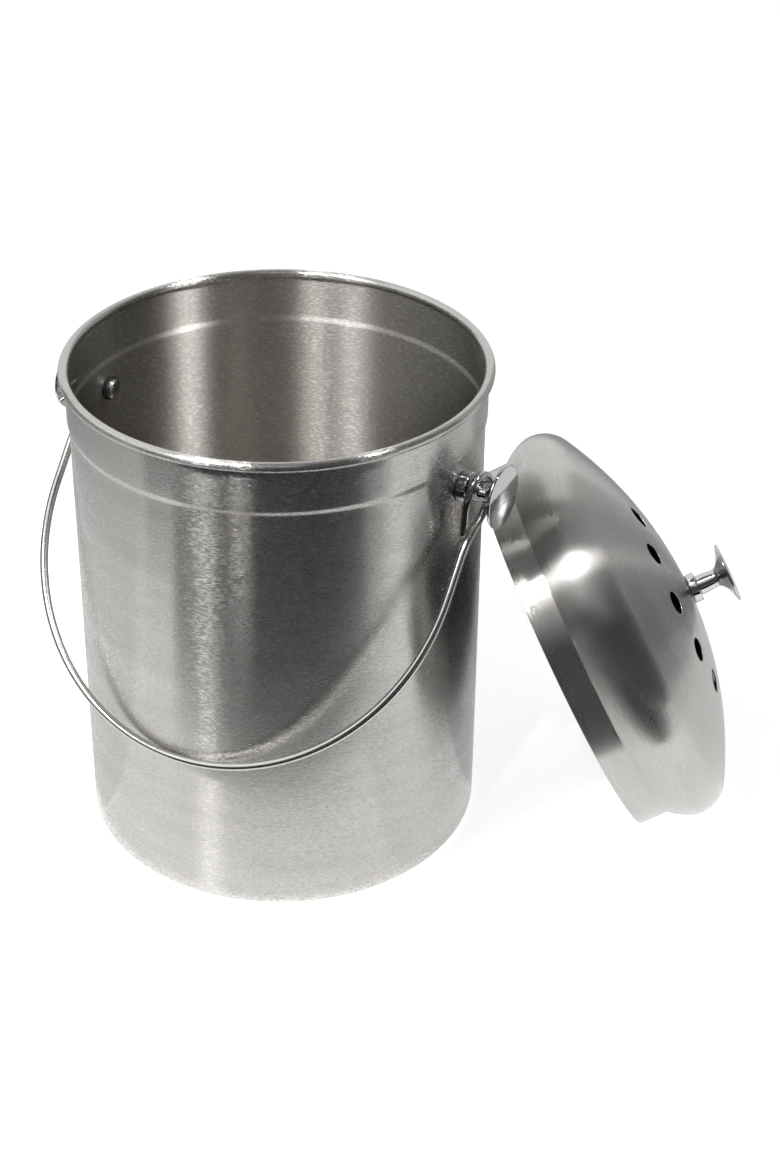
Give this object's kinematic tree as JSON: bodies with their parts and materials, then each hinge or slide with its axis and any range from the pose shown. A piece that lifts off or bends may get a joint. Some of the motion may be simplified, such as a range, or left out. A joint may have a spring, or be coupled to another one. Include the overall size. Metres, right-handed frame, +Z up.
{
  "type": "compost caddy",
  "caption": "Straight-sided steel compost bucket with a rolled rim and a swinging wire bail, and a domed vented lid with a mushroom knob leaning beside it.",
  "frame": {"origin": "middle of the bucket's foot, on the surface it stands on", "axes": "+Z up along the bucket's axis; +X towards the right-hand ear stud; -Y towards the side where the bail hangs"},
  "size_m": [0.2957, 0.2411, 0.215],
  "materials": {
    "bucket_steel": "brushed round the wall",
    "lid_steel": "brushed round the axis",
    "chrome": "polished",
    "bail_wire": "polished wire",
    "screw_steel": "bright zinc",
    "spring_steel": "oiled",
    "seal_rubber": "matte",
    "black_plastic": "fine moulded grain",
    "charcoal_felt": "needled felt"
  },
  "bodies": {
    "body": {"bucket": "bucket_steel", "ear_collar_left": "chrome", "ear_collar_right": "chrome", "ear_stud_left": "chrome", "ear_stud_right": "chrome", "ear_screw_left": "screw_steel", "ear_screw_right": "screw_steel", "ear_seal_left": "seal_rubber", "ear_seal_right": "seal_rubber"},
    "bail": {"bail": "bail_wire"},
    "lid": {"lid_shell": "lid_steel", "knob_collar": "chrome", "lid_knob": "chrome", "knob_screw": "screw_steel", "knob_lock_washer": "spring_steel", "filter_holder": "black_plastic", "charcoal_filter": "charcoal_felt"},
    "cover": {"filter_cover": "black_plastic"}
  },
  "joints": [
    {"name": "bail_swing", "type": "hinge", "parent": "body", "child": "bail", "pos_m": [0, 0, 0.18], "axis": [-1, 0, 0], "range_deg": [0, 225]},
    {"name": "lid_lift", "type": "slide", "parent": "body", "child": "lid", "axis": [0.735, 0.5146, 0.4415], "range_m": [0, 0.2]},
    {"name": "cover_twist", "type": "hinge", "parent": "lid", "child": "cover", "pos_m": [0.10684, 0.05985, 0.07483], "axis": [0.735, 0.5146, 0.4415], "range_deg": [-24, 0]}
  ]
}
